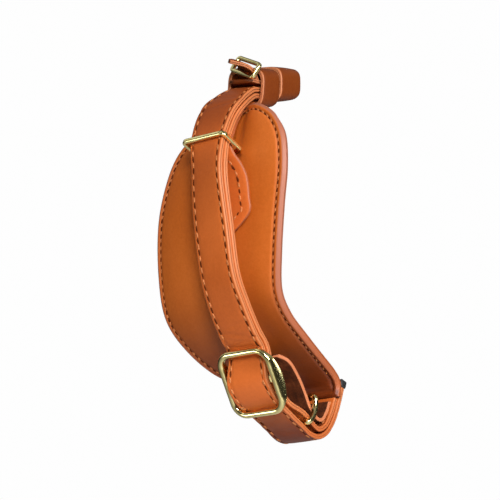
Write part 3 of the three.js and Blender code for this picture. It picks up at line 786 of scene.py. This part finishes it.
def tabLine(cut, stitch):
    # down one side of the tab, across its foot and up the other side
    rows = smoothRun(cut["rows"], strapFinish["steps"])
    places, across, face = runFrames(rows)
    sides = [k for k in range(len(rows)) if stitch["foot"][0][1] < rows[k, 2] < stitch["top"]]
    stops = [(rows[k, 4] - stitch["inset"], k) for k in sides]
    for reach, height in stitch["foot"]:
        stops.append((reach, int(np.argmin(np.abs(rows[:, 2] - height)))))
    stops += [(-reach, k) for reach, k in stops[::-1][1:]]
    line = np.array([places[k] + across[k] * reach - face[k] * stitchLift for reach, k in stops])
    return line, np.array([face[k] for reach, k in stops])


for name in ("strapStitches", "liningStitches"):
    addStitches(name, sideLines(strapCuts[stitchCuts[name]["strap"]], stitchCuts[name]), stitchCuts[name])
addStitches("tabStitches", [tabLine(strapCuts["sewnTab"], stitchCuts["tabStitches"])], stitchCuts["tabStitches"])
addStitches("padStitches", [padStitchLine], stitchCuts["padStitches"])
print("stitches ready")

# brass rings: width and height are the outside sizes
brassLook = {"light": (0.93, 0.82, 0.38), "dark": (0.70, 0.58, 0.20), "roughness": 0.08}
ringFinish = {"step": 0.3, "cornerSteps": 10, "barSteps": 4, "barRound": 0.32}
keeperRing = {"width": 16.8, "height": 10.4, "corner": 1.8, "roll": 0, "bow": 0}
ringCuts = {
    "upperKeeperRing": {**keeperRing, "node": "upper_keeper_ring", "centre": (0, 3.8, 24.6), "bar": 1.4,
                        "lean": 57},
    "lowerKeeperRing": {**keeperRing, "node": "lower_keeper_ring", "centre": (0, 27.1, -54.3), "bar": 1.55,
                        "lean": -30, "bow": 1.9},
    "topSlider": {"node": "top_slider", "centre": (2.5, 20.2, 49.0), "width": 11.8, "height": 5.7,
                  "bar": 1.3, "corner": 1.4, "lean": -28, "roll": 27, "bow": 0},
}
buckleCut = {
    "centre": (0, 10.1, -45.6), "lean": 20.4, "roll": 0, "width": 20, "height": 21, "bar": 2, "corner": 5,
    "sideDepth": 2.6, "round": 0.92, "roundSteps": 6, "cornerSteps": 14, "sideSteps": 24,
    "barWidth": 2.8, "barDepth": 1.1, "barSink": 1.7, "barRound": 0.5,
}


def brassMaterial(name, look):
    material, tree = newMaterial(name)
    tarnish = tree.noise(210, 3, 0.5)
    color = tree.ramp(tarnish, [(0.25, look["dark"]), (0.5, look["light"])])
    scuffs = tree.noise(900, 4, 0.7)
    return finishMaterial(material, tree, {
        "Base Color": color, "Metallic": 1.0, "Roughness": look["roughness"] + scuffs * 0.06,
        "Normal": tree.bump(0.05, 0.0002, scuffs)})


def ringNodes():
    group, tree, given = newNodeGroup("ringFrame", ("Width", "Height", "Bar", "Corner", "Bow", "Step"))
    bar, height = given["Bar"], given["Height"]
    outline = tree.add("GeometryNodeCurvePrimitiveQuadrilateral", inputs={
        "Width": given["Width"] - bar, "Height": height - bar})["Curve"]
    rounded = tree.add("GeometryNodeFilletCurve", {"mode": "POLY"}, {
        "Curve": outline, "Count": ringFinish["cornerSteps"], "Radius": given["Corner"] - bar * 0.5})["Curve"]
    fine = tree.add("GeometryNodeResampleCurve", {"mode": "LENGTH"}, {"Curve": rounded, "Length": given["Step"]})
    place = tree.add("ShaderNodeSeparateXYZ", inputs={
        "Vector": tree.add("GeometryNodeInputPosition")["Position"]})
    share = place["Y"] * 2.0 / height
    bend = tree.add("ShaderNodeCombineXYZ", inputs={"Z": (share * share - 1.0) * given["Bow"]})["Vector"]
    bowed = tree.add("GeometryNodeSetPosition", inputs={"Geometry": fine["Curve"], "Offset": bend})["Geometry"]
    upright = tree.add("GeometryNodeSetCurveNormal", {"mode": "Z_UP"}, {"Curve": bowed})["Curve"]
    square = tree.add("GeometryNodeCurvePrimitiveQuadrilateral", inputs={"Width": bar, "Height": bar})["Curve"]
    section = tree.add("GeometryNodeFilletCurve", {"mode": "POLY"}, {
        "Curve": square, "Count": ringFinish["barSteps"], "Radius": bar * ringFinish["barRound"]})["Curve"]
    swept = tree.add("GeometryNodeCurveToMesh", inputs={"Curve": upright, "Profile Curve": section})["Mesh"]
    finishNodes(tree, given, swept)
    return group


def leaning(cut):
    lean = Matrix.Rotation(math.radians(cut["lean"]), 4, "X")
    return lean @ Matrix.Rotation(math.radians(cut["roll"]), 4, "Y")


def ringMesh(name, group, cut, material):
    mesh = grownMesh(name, group, bpy.data.meshes.new(name + "Start"), {
        "Width": cut["width"] * mm, "Height": cut["height"] * mm, "Bar": cut["bar"] * mm,
        "Corner": cut["corner"] * mm, "Bow": cut["bow"] * mm, "Step": ringFinish["step"] * mm,
        "Material": material})
    centre = Matrix.Translation(inMetres([cut["centre"]])[0])
    mesh.transform(centre @ leaning(cut) @ Matrix.Rotation(math.pi / 2, 4, "X"))
    faceOutwards(mesh)
    return mesh


def frameOutline(cut, cornerSteps, sideSteps):
    # middle line of the frame, with the way out at each point
    w, h = cut["width"] / 2 - cut["corner"], cut["height"] / 2 - cut["corner"]
    corner = cut["corner"] - cut["bar"] / 2
    pairs = []
    for quarter, (x, z) in enumerate([(w, h), (-w, h), (-w, -h), (w, -h)]):
        for k in range(cornerSteps + 1):
            angle = math.pi / 2 * (quarter + k / cornerSteps)
            out = np.array([math.cos(angle), 0, math.sin(angle)])
            pairs.append((np.array([x, 0, z]) + out * corner, out))
    line = []
    for i, (place, out) in enumerate(pairs):
        following = pairs[(i + 1) % len(pairs)]
        count = sideSteps if (i + 1) % (cornerSteps + 1) == 0 else 1
        for k in range(count):
            line.append((place + (following[0] - place) * k / count, out))
    return line


def barSection(bar, front, back, radius, steps=4):
    # rounded rectangle: out from the bar's middle line, and depth
    half = bar / 2
    radius = min(radius, half, (back - front) / 2)
    corners = [(half - radius, back - radius, 0), (-half + radius, back - radius, 1),
               (-half + radius, front + radius, 2), (half - radius, front + radius, 3)]
    section = []
    for out, depth, quarter in corners:
        for k in range(steps + 1):
            angle = math.pi / 2 * (quarter + k / steps)
            section.append((out + radius * math.cos(angle), depth + radius * math.sin(angle)))
    return section


def turned(cut, points):
    return np.array(points) @ np.array(leaning(cut).to_3x3()).T + np.array(cut["centre"])


def buckleMesh(name, cut):
    line = frameOutline(cut, cut["cornerSteps"], cut["sideSteps"])
    points = []
    half = cut["bar"] / 2
    for place, out in line:
        side = out[0] ** 2
        middle = max(1 - (2 * place[2] / (cut["height"] - cut["corner"])) ** 2, 0)
        back = half + side * cut["sideDepth"] * middle
        for reach, depth in barSection(cut["bar"], -half, back, cut["round"], cut["roundSteps"]):
            points.append(place + out * reach + np.array([0, depth, 0]))
    count = len(points) // len(line)
    faces = gridFaces(len(line), count, closedRows=True, closedColumns=True)
    start = len(points)
    reach = cut["width"] / 2 - cut["bar"] / 2
    bar = barSection(cut["barWidth"], cut["barSink"], cut["barSink"] + cut["barDepth"], cut["barRound"])
    for x in (-reach, reach):
        points += [np.array([x, depth, up]) for up, depth in bar]
    return makeMesh(name, turned(cut, points), faces + tubeFaces(2, len(bar), start))


brass = brassMaterial("brass", brassLook)
ringFrame = ringNodes()
brassPieces = bpy.data.collections.new("brassPieces")
for name, cut in ringCuts.items():
    brassPieces.objects.link(addPiece(name, ringMesh(name, ringFrame, cut, brass), brass, [cut["node"]]))
brassPieces.objects.link(addPiece("slideBuckle", buckleMesh("slideBuckle", buckleCut), brass,
                                  ["slide_buckle"]))
print("brass ready")

anchorCut = {"centre": (0, 46.2, -47.3), "width": 12.6, "depth": 2.6, "height": 2.4, "lean": -28, "roll": 0,
             "round": 0.4, "endLength": 0.3, "endShrink": 0.82}
blackLook = {"dark": (0.012, 0.012, 0.013), "light": (0.03, 0.03, 0.032), "roughness": 0.42}


def blackMaterial(name, look):
    material, tree = newMaterial(name)
    grain = tree.noise(1500, 3, 0.6)
    color = tree.ramp(grain, [(0.3, look["dark"]), (0.7, look["light"])])
    return finishMaterial(material, tree, {"Base Color": color, "Roughness": look["roughness"] + grain * 0.1,
                                           "Normal": tree.bump(0.15, 0.0001, grain)})


def anchorMesh(name, cut):
    section = barSection(cut["height"], -cut["depth"] / 2, cut["depth"] / 2, cut["round"])
    half, end, points = cut["width"] / 2, cut["endLength"], []
    for x, shrink in ((-half, cut["endShrink"]), (-half + end, 1), (half - end, 1), (half, cut["endShrink"])):
        points += [(x, depth * shrink, up * shrink) for up, depth in section]
    return makeMesh(name, turned(cut, points), tubeFaces(4, len(section)))


addPiece("baseAnchor", anchorMesh("baseAnchor", anchorCut), blackMaterial("blackMetal", blackLook),
         ["base_anchor"])
print("anchor ready")

stage = {"azimuth": 40.0, "elevation": -7.0, "roll": 6.0, "distance": 0.75, "lens": 185.0, "floorDrop": 0.35,
         "floorSize": 3.0, "lightDistance": 0.9}
floorLook = {"dark": (0.82, 0.82, 0.81), "light": (0.86, 0.86, 0.85), "bounce": (0.8, 0.8, 0.8)}


def placeCamera():
    azimuth, elevation, roll = (math.radians(stage[key]) for key in ("azimuth", "elevation", "roll"))
    back = Vector((math.sin(azimuth) * math.cos(elevation), -math.cos(azimuth) * math.cos(elevation),
                   math.sin(elevation)))
    right = Vector((math.cos(azimuth), math.sin(azimuth), 0))
    tilted = right * math.cos(roll) - back.cross(right) * math.sin(roll)
    where = Vector((0, -padSeat * mm, 0)) + back * stage["distance"]
    back = (where - (cadLow + cadHigh) / 2).normalized()
    across = (tilted - back * tilted.dot(back)).normalized()
    camera = bpy.data.objects.new("camera", bpy.data.cameras.new("camera"))
    camera.data.lens = stage["lens"]
    camera.data.clip_start = 0.01
    turn = Matrix((across, back.cross(across), back)).transposed()
    camera.matrix_world = Matrix.Translation(where) @ turn.to_4x4()
    scene.collection.objects.link(camera)
    scene.camera = camera
    return back, across


# each light: how far towards the camera, to its right and up, then size, power and what it is for;
# matte ones give no highlights, and brass ones reach only the brass
lights = {
    "keyLight": ((1.0, 0.10, 0.36), 0.30, 6.3, "all"),
    "sideLight": ((1.0, 0.74, 0.35), 0.30, 5.5, "all"),
    "highLight": ((0.35, -0.35, 0.90), 0.60, 0.4, "all"),
    "backLight": ((-0.95, 0.10, 0.20), 0.5, 4.6, "matte"),
    "lowCard": ((0.20, -0.95, -0.35), 0.24, 0.9, "brass"),
    "leftCard": ((-0.35, -0.62, 0.70), 0.30, 0.13, "brass"),
    "rightCard": ((-0.24, 0.96, 0.20), 0.14, 0.22, "brass"),
    "wideCard": ((0.55, -0.74, 0.60), 0.30, 0.22, "brass"),
}
studioLook = {"seen": (0.99, 0.99, 0.99), "around": (0.70, 0.60, 0.52), "strength": 0.12, "wallStrength": 0.4,
              "walls": [(0.0, (0.03, 0.03, 0.028)), (0.45, (0.06, 0.06, 0.055)), (0.60, (0.12, 0.12, 0.11)),
                        (0.72, (0.80, 0.80, 0.78)), (0.86, (0.50, 0.50, 0.50)), (1.0, (0.20, 0.20, 0.20))]}


def areaLight(name, way, size, power, purpose):
    data = bpy.data.lights.new(name, "AREA")
    data.shape = "DISK"
    data.size = size
    data.energy = power
    towards, right, above = way
    direction = (back * towards + across * right + Vector((0, 0, above))).normalized()
    light = bpy.data.objects.new(name, data)
    light.location = (cadLow + cadHigh) / 2 + direction * stage["lightDistance"]
    light.rotation_mode = "QUATERNION"
    light.rotation_quaternion = direction.to_track_quat("Z", "Y")
    light.visible_glossy = purpose != "matte"
    if purpose == "brass":
        light.light_linking.receiver_collection = brassPieces
    scene.collection.objects.link(light)


back, across = placeCamera()
for name, row in lights.items():
    areaLight(name, *row)

floorMesh = bpy.data.meshes.new("floor")
floorSize, floorZ = stage["floorSize"], cadLow.z - stage["floorDrop"]
corners = [(x * floorSize, y * floorSize, floorZ) for x, y in ((-1, -1), (1, -1), (1, 1), (-1, 1))]
floorMesh.from_pydata(corners, [], [(0, 1, 2, 3)])
floor = bpy.data.objects.new("floor", floorMesh)
scene.collection.objects.link(floor)
floorMaterial, floorTree = newMaterial("paleFloor")
floorTone = floorTree.ramp(floorTree.noise(3), [(0.3, floorLook["dark"]), (0.7, floorLook["light"])])
floorMatte = floorTree.add("ShaderNodeBsdfPrincipled", inputs={
    "Base Color": floorTree.mix(1.0, floorTone, floorLook["bounce"], "MULTIPLY"), "Roughness": 0.8})
# the camera sees the floor's own tone, whatever light falls on it
floorGlow = floorTree.add("ShaderNodeEmission", inputs={"Color": floorTone, "Strength": 1.0})
floorTree.add("ShaderNodeOutputMaterial", inputs={
    "Surface": floorTree.forRay("Is Camera Ray", floorGlow["Emission"], floorMatte["BSDF"])})
floorMesh.materials.append(floorMaterial)

world = bpy.data.worlds.new("studio")
world.use_nodes = True
world.node_tree.nodes.clear()
worldTree = Tree(world.node_tree)
seen = worldTree.background(studioLook["seen"], 1.0)
around = worldTree.background(studioLook["around"], studioLook["strength"])
# what reflections see: a studio wall with a pale band above eye level
skyward = worldTree.add("ShaderNodeSeparateXYZ", inputs={
    "Vector": worldTree.add("ShaderNodeTexCoord")["Generated"]})["Z"]
walls = worldTree.background(worldTree.ramp(skyward * 0.5 + 0.5, studioLook["walls"]), studioLook["wallStrength"])
lit = worldTree.forRay("Is Glossy Ray", walls, around)
worldTree.add("ShaderNodeOutputWorld", inputs={"Surface": worldTree.forRay("Is Camera Ray", seen, lit)})
scene.world = world
scene.view_settings.view_transform = "Standard"

print("stage ready")
